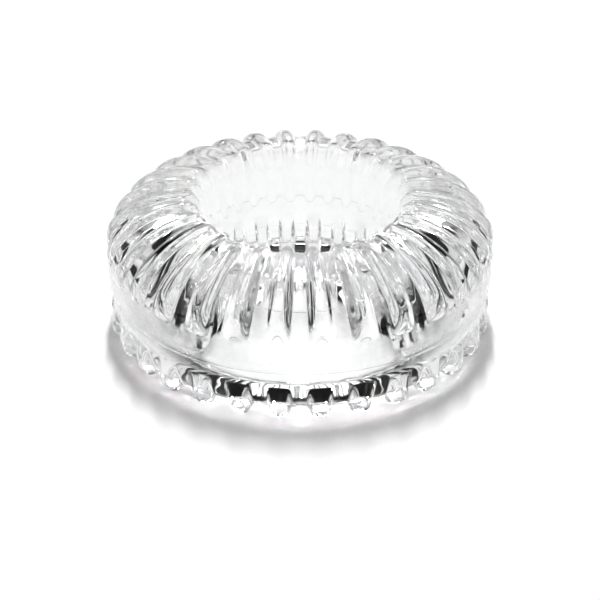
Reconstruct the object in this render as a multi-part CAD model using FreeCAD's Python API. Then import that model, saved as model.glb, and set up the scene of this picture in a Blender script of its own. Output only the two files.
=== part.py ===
"""Heavy ribbed ring of clear pressed glass: two halves joined by a thin clear film.

The ring lies on its ribs. Its origin is the centre of its footprint, on the surface that it stands
on, and +Z is up, along its axis. Lengths are in millimetres and angles in degrees.

The ring's section is four quarters that meet at the outer edge, the crown, the waist of the hole
and the underside. Each quarter is an ellipse, or a squarer curve of the same kind. A turn of 0 along
the section is the outer edge, 90 the crown, 180 the waist and 270 the underside. Round ribs stand on
that section, above and below a smooth outer band. The lower ones are the ring's feet.
"""
import FreeCAD, Part

import math
import os

# The smooth ring, without its ribs. Heights are above the lowest point of the smooth underside.
OUTER_RADIUS = 80.0
OUTER_HEIGHT = 30.0
CROWN_RADIUS = 48.0
CROWN_HEIGHT = 53.8
WAIST_RADIUS = 40.0
WAIST_HEIGHT = 24.0
BASE_RADIUS = 73.4

# How square each quarter of the section is: 2 is an ellipse, and more is squarer.
UPPER_OUTER_POWER = 1.92
UPPER_INNER_POWER = 2.2
LOWER_INNER_POWER = 9.0
LOWER_OUTER_POWER = 2.0

# The joint between the two halves.
SEAM_HEIGHT = 18.8
FILM_THICKNESS = 0.2

# The ribs. WIDTH is the part of the pitch that a rib covers. TURNS are the turns at which a rib has
# run out, and FADES are the turns over which it runs out, at the start and at the end. A higher
# SQUARENESS makes a broader rib, and a higher ROUNDNESS makes softer valleys beside it.
RIB_COUNT = 30
FADE_POWER = 1.3
UPPER_RIB_WIDTH = 0.64
UPPER_RIB_SQUARENESS = 3.0
UPPER_RIB_ROUNDNESS = 1.5
UPPER_RIB_HEIGHT = 2.6
LOWER_RIB_WIDTH = 0.6
LOWER_RIB_SQUARENESS = 4.0
LOWER_RIB_ROUNDNESS = 1.2
LOWER_RIB_HEIGHT = 4.4
UPPER_RIB_TURNS = (3.0, 172.0)
LOWER_RIB_TURNS = (262.0, 322.0)
UPPER_FADES = (22.0, 40.0)
LOWER_FADES = (8.0, 30.0)

# Flats ground on the lower ribs, on which the ring stands.
GROUND_DEPTH = 1.35
LIFT = LOWER_RIB_HEIGHT - GROUND_DEPTH

# Points of each rib's surface, across its pitch and along the section.
POINTS_ACROSS = 19
POINTS_ALONG_UPPER = 57
POINTS_ALONG_LOWER = 61

PITCH = 360.0 / RIB_COUNT

# An edge that rises by less than this is level.
LEVEL = 0.01


def quarter(turn):
    """Centre, half axes and power of the quarter that holds a turn of the section."""
    outer = math.cos(math.radians(turn)) > 0
    upper = math.sin(math.radians(turn)) > 0
    middle_radius = CROWN_RADIUS if upper else BASE_RADIUS
    middle_height = OUTER_HEIGHT if outer else WAIST_HEIGHT
    half_width = OUTER_RADIUS - middle_radius if outer else middle_radius - WAIST_RADIUS
    half_height = CROWN_HEIGHT - middle_height if upper else middle_height
    if upper:
        power = UPPER_OUTER_POWER if outer else UPPER_INNER_POWER
    else:
        power = LOWER_OUTER_POWER if outer else LOWER_INNER_POWER
    return middle_radius, middle_height, half_width, half_height, power


def section(turn):
    """Point and outward normal of the smooth section at a turn, in the XZ plane."""
    middle_radius, middle_height, half_width, half_height, power = quarter(turn)
    cosine = math.cos(math.radians(turn))
    sine = math.sin(math.radians(turn))
    reach = (abs(cosine) ** power + abs(sine) ** power) ** (-1 / power)
    x = middle_radius + half_width * reach * cosine
    z = middle_height + half_height * reach * sine
    across = math.copysign(abs(cosine) ** (power - 1), cosine) / half_width
    along = math.copysign(abs(sine) ** (power - 1), sine) / half_height
    return FreeCAD.Vector(x, 0, z), FreeCAD.Vector(across, 0, along).normalize()


def crossing_turn(height, middle_height, power):
    """Turn below the level of a quarter's centre at which the section crosses a height."""
    drop = (middle_height - height) / middle_height
    width = (1 - drop ** power) ** (1 / power)
    return math.degrees(math.atan2(drop, width))


def seam_turns(height):
    """Turns at which the section crosses a height below its outer edge: outside, then inside."""
    outside = crossing_turn(height, OUTER_HEIGHT, LOWER_OUTER_POWER)
    inside = crossing_turn(height, WAIST_HEIGHT, LOWER_INNER_POWER)
    return -outside, 180.0 + inside


def end_distance(turn, turns, fades):
    """0 along a rib, rising to 1 where the rib has run out at either end."""
    from_start = (turns[0] + fades[0] - turn) / fades[0]
    from_stop = (turn - turns[1] + fades[1]) / fades[1]
    return min(1.0, max(0.0, from_start, from_stop))


def rib_height(across, turn, ribs):
    """Height of a rib over the smooth ring. across runs from -0.5 to 0.5 over the pitch."""
    turns, fades, width, squareness, roundness, height = ribs
    side = min(1.0, abs(2.0 * across / width))
    profile = (1.0 - side ** squareness) ** roundness
    return height * profile * (1.0 - end_distance(turn, turns, fades) ** FADE_POWER)


def surface_point(across, turn, ribs):
    """Point of the ribbed surface in the first pitch, which is centred on the X axis."""
    smooth, normal = section(turn)
    point = smooth + normal * rib_height(across, turn, ribs)
    angle = math.radians(PITCH * across)
    x = point.x * math.cos(angle)
    y = point.x * math.sin(angle)
    return FreeCAD.Vector(x, y, point.z + LIFT)


def pitch_face(first_turn, last_turn, points_along, ribs):
    """One pitch of the ribbed surface, from one side of the joint round to the other."""
    step = (last_turn - first_turn) / (points_along - 1)
    turns = [first_turn + i * step for i in range(points_along)]
    rows = []
    for i in range(POINTS_ACROSS):
        across = i / (POINTS_ACROSS - 1) - 0.5
        rows.append([surface_point(across, turn, ribs) for turn in turns])
    surface = Part.BSplineSurface()
    surface.interpolate(rows)
    return surface.toShape()


def around(face):
    """Copies of a one-pitch face, all round the ring's axis."""
    copies = []
    for i in range(RIB_COUNT):
        copy = face.copy()
        copy.rotate(FreeCAD.Vector(0, 0, 0), FreeCAD.Vector(0, 0, 1), i * PITCH)
        copies.append(copy)
    return copies


def joint_face(faces):
    """Flat ring-shaped face that closes the joint, bounded by the level edges of the ribbed faces."""
    ends = [edge for face in faces for edge in face.Edges if edge.BoundBox.ZLength < LEVEL]
    wires = [Part.Wire(edges) for edges in Part.sortEdges(ends)]
    wires.sort(key=lambda wire: wire.BoundBox.XLength, reverse=True)
    return Part.Face(wires)


def ribbed_half(first_turn, last_turn, points_along, ribs):
    """Solid half of the ring, closed at the joint."""
    faces = around(pitch_face(first_turn, last_turn, points_along, ribs))
    faces.append(joint_face(faces))
    shell = Part.makeShell(faces)
    shell.sewShape()
    solid = Part.Solid(Part.Shell(shell.Faces))
    if solid.Volume < 0:
        solid.reverse()
    return solid


def upper_glass_half():
    outside, inside = seam_turns(SEAM_HEIGHT + FILM_THICKNESS / 2)
    profile = (UPPER_RIB_WIDTH, UPPER_RIB_SQUARENESS, UPPER_RIB_ROUNDNESS, UPPER_RIB_HEIGHT)
    ribs = (UPPER_RIB_TURNS, UPPER_FADES, *profile)
    return ribbed_half(outside, inside, POINTS_ALONG_UPPER, ribs)


def lower_glass_half():
    """The lower half, with its ribs ground flat where the ring stands."""
    outside, inside = seam_turns(SEAM_HEIGHT - FILM_THICKNESS / 2)
    profile = (LOWER_RIB_WIDTH, LOWER_RIB_SQUARENESS, LOWER_RIB_ROUNDNESS, LOWER_RIB_HEIGHT)
    ribs = (LOWER_RIB_TURNS, LOWER_FADES, *profile)
    half = ribbed_half(inside, 360.0 + outside, POINTS_ALONG_LOWER, ribs)
    reach = 2 * OUTER_RADIUS
    ground = Part.makeBox(2 * reach, 2 * reach, reach, FreeCAD.Vector(-reach, -reach, -reach))
    return half.cut(ground)


def bond_film():
    """Clear film that fills the joint, out to the walls of the glass."""
    outer_turn, inner_turn = seam_turns(SEAM_HEIGHT)
    outer_radius = section(outer_turn)[0].x
    inner_radius = section(inner_turn)[0].x
    bottom = FreeCAD.Vector(0, 0, SEAM_HEIGHT - FILM_THICKNESS / 2 + LIFT)
    disc = Part.makeCylinder(outer_radius, FILM_THICKNESS, bottom)
    hole = Part.makeCylinder(inner_radius, FILM_THICKNESS, bottom)
    return disc.cut(hole)


NODES = {
    "upper_glass_half": upper_glass_half,
    "lower_glass_half": lower_glass_half,
    "bond_film": bond_film,
}

os.makedirs("parts", exist_ok=True)
for name, build in NODES.items():
    shape = build()
    print(name, "valid", shape.isValid(), "solids", len(shape.Solids), "volume", round(shape.Volume))
    shape.exportStep(os.path.join("parts", name + ".step"))
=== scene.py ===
"""Looks of the ribbed clear glass ring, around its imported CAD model.

The ring is two pressed halves of clear glass with a thin clear film between them. Each piece is
built here by the formula that its CAD node follows, fine enough for smooth refraction.
"""

import math

import bpy
import numpy as np
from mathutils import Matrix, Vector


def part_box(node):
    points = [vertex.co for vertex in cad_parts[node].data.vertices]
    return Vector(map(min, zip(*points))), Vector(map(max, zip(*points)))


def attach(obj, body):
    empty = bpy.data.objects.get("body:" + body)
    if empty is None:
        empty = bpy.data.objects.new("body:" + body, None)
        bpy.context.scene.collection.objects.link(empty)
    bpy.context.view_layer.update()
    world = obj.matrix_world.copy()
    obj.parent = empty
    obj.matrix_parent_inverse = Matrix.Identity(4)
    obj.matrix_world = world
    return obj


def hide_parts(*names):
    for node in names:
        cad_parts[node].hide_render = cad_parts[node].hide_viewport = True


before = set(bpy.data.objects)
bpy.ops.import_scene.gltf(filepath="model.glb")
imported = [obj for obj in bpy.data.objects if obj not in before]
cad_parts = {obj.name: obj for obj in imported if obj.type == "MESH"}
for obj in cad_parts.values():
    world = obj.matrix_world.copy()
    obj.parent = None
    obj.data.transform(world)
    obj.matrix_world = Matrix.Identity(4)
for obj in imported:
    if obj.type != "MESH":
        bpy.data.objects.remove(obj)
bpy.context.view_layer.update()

# ---------------------------------------------------------------- sizes, in metres and degrees
MM = 0.001
SEAM_HEIGHT = 18.8 * MM
UPPER_RIB_HEIGHT = 2.6 * MM
LOWER_RIB_HEIGHT = 4.4 * MM

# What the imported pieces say: the film's thickness, how far the smooth underside is above the
# table, and the height of the smooth crown.
FILM_LOW, FILM_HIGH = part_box("bond_film")
UPPER_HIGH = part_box("upper_glass_half")[1]
FILM_THICKNESS = FILM_HIGH.z - FILM_LOW.z
LIFT = (FILM_HIGH.z + FILM_LOW.z) / 2 - SEAM_HEIGHT
CROWN_HEIGHT = UPPER_HIGH.z - UPPER_RIB_HEIGHT - LIFT

# The rest of the smooth ring. Heights are above the lowest point of the smooth underside.
OUTER_RADIUS = 80.0 * MM
OUTER_HEIGHT = 30.0 * MM
CROWN_RADIUS = 48.0 * MM
WAIST_RADIUS = 40.0 * MM
WAIST_HEIGHT = 24.0 * MM
BASE_RADIUS = 73.4 * MM

# How square each quarter of the section is, from the upper outer one round: 2 is an ellipse.
UPPER_OUTER, UPPER_INNER, LOWER_INNER, LOWER_OUTER = 1.92, 2.2, 9.0, 2.0

RIB_COUNT = 30
UPPER_RIB_WIDTH = 0.64
LOWER_RIB_WIDTH = 0.6
UPPER_RIB_SQUARENESS, UPPER_RIB_ROUNDNESS = 3.0, 1.5
LOWER_RIB_SQUARENESS, LOWER_RIB_ROUNDNESS = 4.0, 1.2
UPPER_RIB_TURNS = (3.0, 172.0)
LOWER_RIB_TURNS = (262.0, 322.0)
UPPER_FADES = (22.0, 40.0)
LOWER_FADES = (8.0, 30.0)
FADE_POWER = 1.3

# Small faults of real pressed glass: each rib differs a little, the walls are slightly wavy, and an
# uneven ridge follows the outer joint everywhere but at the front. It comes up between RIDGE_FROM
# and RIDGE_TO, in degrees away from the front.
RIB_HEIGHT_SPREAD = 0.05
RIB_WIDTH_SPREAD = 0.04
RIB_SHIFT_SPREAD = 0.012
WAVE_COUNT = 14
WAVE_HEIGHT = 0.003 * MM
RIDGE_HEIGHT = 0.22 * MM
RIDGE_WIDTH = 0.45 * MM
RIDGE_FROM, RIDGE_TO = 18.0, 36.0
RIDGE_MEAN, RIDGE_UNEVEN = 0.6, 0.4
RIDGE_COUNTS = 47, 31

# Mesh steps. END_CROWDING draws the steps along the section closer together at the joint.
STEPS_AROUND = 28 * RIB_COUNT
STEPS_UPPER = 112
STEPS_LOWER = 96
END_CROWDING = 0.11

chance = np.random.default_rng(7)
rib_heights = 1.0 + RIB_HEIGHT_SPREAD * chance.uniform(-1, 1, RIB_COUNT)
rib_widths = 1.0 + RIB_WIDTH_SPREAD * chance.uniform(-1, 1, RIB_COUNT)
rib_shifts = RIB_SHIFT_SPREAD * chance.uniform(-1, 1, RIB_COUNT)
waves_around = chance.integers(12, 75, WAVE_COUNT)
waves_along = chance.uniform(-9, 9, WAVE_COUNT)
wave_starts = chance.uniform(0, 2 * math.pi, WAVE_COUNT)


# ---------------------------------------------------------------- the ring's form
def section(turn):
    """Radius, height and outward normal of the smooth section at each turn."""
    angle = np.radians(turn)
    cosine, sine = np.cos(angle), np.sin(angle)
    outer, upper = cosine > 0, sine > 0
    upper_power = np.where(outer, UPPER_OUTER, UPPER_INNER)
    lower_power = np.where(outer, LOWER_OUTER, LOWER_INNER)
    power = np.where(upper, upper_power, lower_power)
    middle_radius = np.where(upper, CROWN_RADIUS, BASE_RADIUS)
    middle_height = np.where(outer, OUTER_HEIGHT, WAIST_HEIGHT)
    half_width = np.where(outer, OUTER_RADIUS - middle_radius, middle_radius - WAIST_RADIUS)
    half_height = np.where(upper, CROWN_HEIGHT - middle_height, middle_height)
    reach = (np.abs(cosine) ** power + np.abs(sine) ** power) ** (-1 / power)
    across = cosine * np.abs(cosine) ** (power - 2) / half_width
    along = sine * np.abs(sine) ** (power - 2) / half_height
    normal = np.stack([across, along]) / np.hypot(across, along)
    radius = middle_radius + half_width * reach * cosine
    level = middle_height + half_height * reach * sine
    return radius, level, normal


def seam_turns(height):
    """Turns at which the section crosses a height below its outer edge: outside, then inside."""
    turns = []
    for middle_height, power in ((OUTER_HEIGHT, LOWER_OUTER), (WAIST_HEIGHT, LOWER_INNER)):
        drop = (middle_height - height) / middle_height
        width = (1 - drop ** power) ** (1 / power)
        turns.append(math.degrees(math.atan2(drop, width)))
    return -turns[0], 180.0 + turns[1]


def rib_height(around, turn, turns, fades, width, squareness, roundness, height):
    """Height of the ribs over the smooth ring, at each place around it, counted in ribs."""
    rib = np.round(around).astype(int) % RIB_COUNT
    across = around - np.round(around) - rib_shifts[rib]
    from_start = (turns[0] + fades[0] - turn) / fades[0]
    from_stop = (turn - turns[1] + fades[1]) / fades[1]
    end = np.clip(np.maximum(from_start, from_stop), 0.0, 1.0)
    side = np.minimum(1.0, np.abs(2.0 * across / (width * rib_widths[rib])))
    profile = (1.0 - side ** squareness) ** roundness
    return height * rib_heights[rib] * profile * (1.0 - end ** FADE_POWER)


def faults(angle, turn, level):
    """Small height of the wavy wall and of the uneven ridge along the outer joint."""
    wave = np.zeros(np.broadcast(angle, turn).shape)
    for count, slope, start in zip(waves_around, waves_along, wave_starts):
        wave = wave + WAVE_HEIGHT * np.sin(count * angle + slope * np.radians(turn) + start)
    aside = np.degrees(np.abs(np.arctan2(np.cos(angle), -np.sin(angle))))
    shown = np.clip((aside - RIDGE_FROM) / (RIDGE_TO - RIDGE_FROM), 0.0, 1.0)
    uneven = np.sin(RIDGE_COUNTS[0] * angle + 1.0) * np.sin(RIDGE_COUNTS[1] * angle)
    ridge = RIDGE_HEIGHT * shown * (RIDGE_MEAN + RIDGE_UNEVEN * uneven)
    drop = (level - SEAM_HEIGHT) / RIDGE_WIDTH
    outside = np.cos(np.radians(turn)) > 0
    return wave + ridge * np.exp(-drop * drop) * outside


def ribbed_grid(first_turn, last_turn, steps, *ribs):
    """Points of a ribbed half: one row per step along the section, one column per step around."""
    part = np.linspace(0, 1, steps + 1)
    part = part - END_CROWDING * np.sin(2 * math.pi * part)
    turn = (first_turn + (last_turn - first_turn) * part)[:, None]
    around = np.arange(STEPS_AROUND)[None, :] / STEPS_AROUND * RIB_COUNT
    angle = around * 2 * math.pi / RIB_COUNT
    radius, level, normal = section(turn)
    raised = rib_height(around, turn, *ribs) + faults(angle, turn, level)
    radius = radius + normal[0] * raised
    ends = level[0, 0], level[-1, 0]
    level = level + normal[1] * raised
    level[0], level[-1] = ends
    grid = np.stack([radius * np.cos(angle), radius * np.sin(angle), level + LIFT], axis=-1)
    grid[..., 2] = np.maximum(grid[..., 2], 0.0)
    return grid


def grid_faces(rows, columns):
    """Quads of a grid that closes on itself around the ring."""
    row, column = np.meshgrid(np.arange(rows - 1), np.arange(columns), indexing="ij")
    beside = (column + 1) % columns
    quads = [row * columns + column, row * columns + beside]
    quads += [(row + 1) * columns + beside, (row + 1) * columns + column]
    return np.stack(quads, axis=-1).reshape(-1, 4)


def sharp_ends(mesh, joint_faces):
    """Mark the edges of the joint faces as sharp, so that the walls are shaded without them."""
    ends = np.zeros(len(mesh.vertices), dtype=bool)
    ends[np.unique(joint_faces)] = True
    edges = np.zeros(2 * len(mesh.edges), dtype=np.int32)
    mesh.edges.foreach_get("vertices", edges)
    first, second = ends[edges[0::2]], ends[edges[1::2]]
    sharp = mesh.attributes.new("sharp_edge", "BOOLEAN", "EDGE")
    sharp.data.foreach_set("value", first & second)


def mesh_object(name, points, faces, joint_faces, materials):
    """A closed piece whose faces at the joint take the second material."""
    mesh = bpy.data.meshes.new(name)
    mesh.from_pydata(points.tolist(), [], np.vstack([faces, joint_faces]).tolist())
    for material in materials:
        mesh.materials.append(material)
    slots = np.zeros(len(mesh.polygons), dtype=np.int32)
    slots[len(faces):] = 1
    mesh.polygons.foreach_set("material_index", slots)
    smooth = np.ones(len(mesh.polygons), dtype=bool)
    smooth[len(faces):] = False
    mesh.polygons.foreach_set("use_smooth", smooth)
    mesh.update()
    sharp_ends(mesh, joint_faces)
    piece = bpy.data.objects.new(name, mesh)
    bpy.context.scene.collection.objects.link(piece)
    return piece


def glass_half(name, grid, materials):
    """One half from its grid of points, closed by a flat ring of faces at the joint."""
    rows, columns = grid.shape[:2]
    last = (rows - 1) * columns
    first = np.arange(columns)
    beside = (first + 1) % columns
    joint = np.stack([last + first, last + beside, beside, first], axis=-1)
    return mesh_object(name, grid.reshape(-1, 3), grid_faces(rows, columns), joint, materials)


def film_ring(name, upper_grid, lower_grid, materials):
    """The thin ring between the halves, from the ends of their walls."""
    loops = [lower_grid[-1], upper_grid[0], upper_grid[-1], lower_grid[0]]
    first = np.arange(STEPS_AROUND)
    beside = (first + 1) % STEPS_AROUND
    strips = []
    for i in range(4):
        a, b = i * STEPS_AROUND, (i + 1) % 4 * STEPS_AROUND
        strips.append(np.stack([a + first, a + beside, b + beside, b + first], axis=-1))
    walls = np.vstack([strips[0], strips[2]])
    flats = np.vstack([strips[1], strips[3]])
    return mesh_object(name, np.vstack(loops), walls, flats, materials)


# ---------------------------------------------------------------- materials
GLASS_INDEX = 1.5
TINT_SCALE = 30.0
RIPPLE_SCALE = 180.0
RIPPLE_HEIGHT = 0.004 * MM

# Fine mottling of the outer wall, in uneven patches just above the joint on the right and left.
SPECK_SCALE = 700.0
SPECK_HEIGHT = 0.12 * MM
PATCH_FROM, PATCH_TO = 0.38, 0.56
BAND_MIDDLE = SEAM_HEIGHT + LIFT + 4.0 * MM
BAND_FROM, BAND_TO = 11.0 * MM, 6.0 * MM
SIDE_FROM, SIDE_TO = 34.0 * MM, 44.0 * MM
MOTTLE_ROUGHNESS = 0.16


def noise(nodes, links, place, scale, detail):
    """Noise from 0 to 1 in the piece's own coordinates."""
    texture = nodes.new("ShaderNodeTexNoise")
    texture.inputs["Scale"].default_value = scale
    texture.inputs["Detail"].default_value = detail
    links.new(place, texture.inputs["Vector"])
    return texture.outputs["Fac"]


def soft_step(nodes, links, value, start, end, top=1.0):
    """0 where the value is at start, rising smoothly to top where it is at end."""
    step = nodes.new("ShaderNodeMapRange")
    step.interpolation_type = "SMOOTHSTEP"
    step.inputs["From Min"].default_value = start
    step.inputs["From Max"].default_value = end
    step.inputs["To Max"].default_value = top
    links.new(value, step.inputs["Value"])
    return step.outputs["Result"]


def calculate(nodes, links, operation, first, second=None, number=0.0):
    """A math node on one value and either another value or a number."""
    node = nodes.new("ShaderNodeMath")
    node.operation = operation
    links.new(first, node.inputs[0])
    if second is None:
        node.inputs[1].default_value = number
    else:
        links.new(second, node.inputs[1])
    return node.outputs["Value"]


def mottling(nodes, links, place, cloud):
    """Where the outer wall is mottled, from 0 to 1."""
    parts = nodes.new("ShaderNodeSeparateXYZ")
    links.new(place, parts.inputs["Vector"])
    drop = calculate(nodes, links, "SUBTRACT", parts.outputs["Z"], number=BAND_MIDDLE)
    away = calculate(nodes, links, "ABSOLUTE", drop)
    aside = calculate(nodes, links, "ABSOLUTE", parts.outputs["X"])
    band = soft_step(nodes, links, away, BAND_FROM, BAND_TO)
    side = soft_step(nodes, links, aside, SIDE_FROM, SIDE_TO)
    patch = soft_step(nodes, links, cloud, PATCH_FROM, PATCH_TO)
    return calculate(nodes, links, "MULTIPLY", calculate(nodes, links, "MULTIPLY", band, side), patch)


def glass_material(name, tint, other_tint):
    """Clear glass with a faint uneven tint, gentle ripples and fine mottling beside the joint."""
    material = bpy.data.materials.new(name)
    material.use_nodes = True
    nodes, links = material.node_tree.nodes, material.node_tree.links
    shader = nodes["Principled BSDF"]
    shader.inputs["IOR"].default_value = GLASS_INDEX
    shader.inputs["Transmission Weight"].default_value = 1.0
    place = nodes.new("ShaderNodeTexCoord").outputs["Object"]
    cloud = noise(nodes, links, place, TINT_SCALE, 2.0)
    mottled = mottling(nodes, links, place, cloud)

    mix = nodes.new("ShaderNodeMix")
    mix.data_type = "RGBA"
    mix.inputs["A"].default_value = tint
    mix.inputs["B"].default_value = other_tint
    links.new(cloud, mix.inputs["Factor"])
    links.new(mix.outputs["Result"], shader.inputs["Base Color"])
    roughness = soft_step(nodes, links, mottled, 0.0, 1.0, MOTTLE_ROUGHNESS)
    links.new(roughness, shader.inputs["Roughness"])

    ripples = nodes.new("ShaderNodeBump")
    ripples.inputs["Distance"].default_value = RIPPLE_HEIGHT
    links.new(noise(nodes, links, place, RIPPLE_SCALE, 1.0), ripples.inputs["Height"])
    specks = nodes.new("ShaderNodeBump")
    specks.inputs["Distance"].default_value = SPECK_HEIGHT
    links.new(mottled, specks.inputs["Strength"])
    links.new(noise(nodes, links, place, SPECK_SCALE, 3.0), specks.inputs["Height"])
    links.new(ripples.outputs["Normal"], specks.inputs["Normal"])
    links.new(specks.outputs["Normal"], shader.inputs["Normal"])
    return material


def joint_material(name):
    """See-through, for the faces that the pieces share, so that light crosses the joint freely."""
    material = bpy.data.materials.new(name)
    material.use_nodes = True
    shader = material.node_tree.nodes["Principled BSDF"]
    shader.inputs["Alpha"].default_value = 0.0
    return material


glass = glass_material("clear_glass_look", (0.88, 0.89, 0.89, 1.0), (0.93, 0.93, 0.93, 1.0))
bond = glass_material("clear_bond_look", (0.89, 0.89, 0.88, 1.0), (0.93, 0.93, 0.92, 1.0))
joint = joint_material("joint_look")

# ---------------------------------------------------------------- the three pieces
upper_outside, upper_inside = seam_turns(SEAM_HEIGHT + FILM_THICKNESS / 2)
lower_outside, lower_inside = seam_turns(SEAM_HEIGHT - FILM_THICKNESS / 2)
upper_profile = (UPPER_RIB_WIDTH, UPPER_RIB_SQUARENESS, UPPER_RIB_ROUNDNESS, UPPER_RIB_HEIGHT)
lower_profile = (LOWER_RIB_WIDTH, LOWER_RIB_SQUARENESS, LOWER_RIB_ROUNDNESS, LOWER_RIB_HEIGHT)
upper_ribs = (UPPER_RIB_TURNS, UPPER_FADES, *upper_profile)
lower_ribs = (LOWER_RIB_TURNS, LOWER_FADES, *lower_profile)
upper_grid = ribbed_grid(upper_outside, upper_inside, STEPS_UPPER, *upper_ribs)
lower_grid = ribbed_grid(lower_inside, 360 + lower_outside, STEPS_LOWER, *lower_ribs)
upper = glass_half("upper_glass", upper_grid, [glass, joint])
lower = glass_half("lower_glass", lower_grid, [glass, joint])
film = film_ring("bond_line", upper_grid, lower_grid, [bond, joint])
PIECES = (
    (upper, "upper_glass_half", "clear_glass"),
    (lower, "lower_glass_half", "clear_glass"),
    (film, "bond_film", "clear_bond"),
)
for piece, node, slot in PIECES:
    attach(piece, "root")
    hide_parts(node)

# ---------------------------------------------------------------- floor, light and camera
FLOOR_SIZE = 12.0
FLOOR_DROP = 0.05 * MM
FLOOR_COLOUR = (0.85, 0.85, 0.85, 1.0)

# The key is a long narrow light, high up behind the ring and pointed along the view, so that the
# ribs' shadows stay apart. The softbox hangs over the ring and the camera's side.
KEY_ELEVATION = math.radians(68.0)
KEY_DISTANCE = 3.0
KEY_WIDTH, KEY_LENGTH = 0.16, 1.2
KEY_RADIANCE = 106.0
SOFTBOX_HEIGHT = 2.6
SOFTBOX_FORWARD = -0.4
SOFTBOX_WIDTH, SOFTBOX_LENGTH = 3.4, 2.6
SOFTBOX_RADIANCE = 1.3

# The room's brightness against the sine of the elevation. It is dark near the floor, and in a gap
# round the softbox.
ROOM_STEPS = ((0.05, 0.0), (0.09, 0.9), (0.5, 0.9), (0.6, 0.7), (0.64, 0.0))

CAMERA_ELEVATION = math.radians(31.4)
CAMERA_DISTANCE = 0.7267
CAMERA_LENS = 102.27
CAMERA_SENSOR = 36.0
CAMERA_CLIP = 0.01
AIM_HEIGHT = 0.0068

EXPOSURE = 0.1
GAMMA = 0.65
GLASS_BOUNCES = 32
GLOSSY_BOUNCES = 16


def pale_floor():
    """The floor, a hair under the feet so that no face of theirs lies in its plane."""
    bpy.ops.mesh.primitive_plane_add(size=FLOOR_SIZE, location=(0, 0, -FLOOR_DROP))
    floor = bpy.context.object
    floor.name = "floor"
    material = bpy.data.materials.new("floor_look")
    material.use_nodes = True
    shader = material.node_tree.nodes["Principled BSDF"]
    shader.inputs["Base Color"].default_value = FLOOR_COLOUR
    shader.inputs["Roughness"].default_value = 1.0
    shader.inputs["Specular IOR Level"].default_value = 0.0
    floor.data.materials.append(material)


def round_light(name, place, tilt, width, length, radiance):
    """An ellipse of light of one radiance, facing down and turned about X by tilt."""
    light = bpy.data.objects.new(name, bpy.data.lights.new(name, "AREA"))
    bpy.context.scene.collection.objects.link(light)
    light.data.shape = "ELLIPSE"
    light.data.size = width
    light.data.size_y = length
    light.data.energy = radiance * math.pi * math.pi * width * length / 4
    light.location = place
    light.rotation_euler = (tilt, 0, 0)


def studio_room():
    """The room around the table: pale walls, dark near the floor and overhead."""
    world = bpy.data.worlds.new("studio")
    bpy.context.scene.world = world
    world.use_nodes = True
    nodes, links = world.node_tree.nodes, world.node_tree.links
    direction = nodes.new("ShaderNodeTexCoord")
    parts = nodes.new("ShaderNodeSeparateXYZ")
    brightness = nodes.new("ShaderNodeValToRGB")
    stops = brightness.color_ramp.elements
    while len(stops) < len(ROOM_STEPS):
        stops.new(1.0)
    for stop, (sine, value) in zip(stops, ROOM_STEPS):
        stop.position = sine
        stop.color = (value, value, value, 1.0)
    links.new(direction.outputs["Generated"], parts.inputs["Vector"])
    links.new(parts.outputs["Z"], brightness.inputs["Fac"])
    links.new(brightness.outputs["Color"], nodes["Background"].inputs["Color"])


def main_camera():
    """A long lens, looking down at the ring from the front."""
    camera = bpy.data.objects.new("camera", bpy.data.cameras.new("camera"))
    bpy.context.scene.collection.objects.link(camera)
    camera.data.lens = CAMERA_LENS
    camera.data.sensor_width = CAMERA_SENSOR
    camera.data.clip_start = CAMERA_CLIP
    back = CAMERA_DISTANCE * math.cos(CAMERA_ELEVATION)
    rise = CAMERA_DISTANCE * math.sin(CAMERA_ELEVATION)
    camera.location = (0, -back, AIM_HEIGHT + rise)
    camera.rotation_euler = (math.pi / 2 - CAMERA_ELEVATION, 0, 0)
    bpy.context.scene.camera = camera


def glass_settings():
    """Enough bounces for thick glass, unclamped light through it, and a contrasty picture."""
    scene = bpy.context.scene
    scene.view_settings.view_transform = "Standard"
    scene.view_settings.exposure = EXPOSURE
    scene.view_settings.gamma = GAMMA
    scene.cycles.max_bounces = GLASS_BOUNCES
    scene.cycles.transmission_bounces = GLASS_BOUNCES
    scene.cycles.transparent_max_bounces = GLASS_BOUNCES
    scene.cycles.glossy_bounces = GLOSSY_BOUNCES
    scene.cycles.sample_clamp_indirect = 0.0
    scene.cycles.blur_glossy = 0.0
    scene.cycles.caustics_refractive = True
    scene.cycles.caustics_reflective = True


key_back = KEY_DISTANCE * math.cos(KEY_ELEVATION)
key_rise = KEY_DISTANCE * math.sin(KEY_ELEVATION)
pale_floor()
key_place = (0, key_back, key_rise)
softbox_place = (0, SOFTBOX_FORWARD, SOFTBOX_HEIGHT)
round_light("key", key_place, KEY_ELEVATION - math.pi / 2, KEY_WIDTH, KEY_LENGTH, KEY_RADIANCE)
round_light("softbox", softbox_place, 0, SOFTBOX_WIDTH, SOFTBOX_LENGTH, SOFTBOX_RADIANCE)
studio_room()
main_camera()
glass_settings()
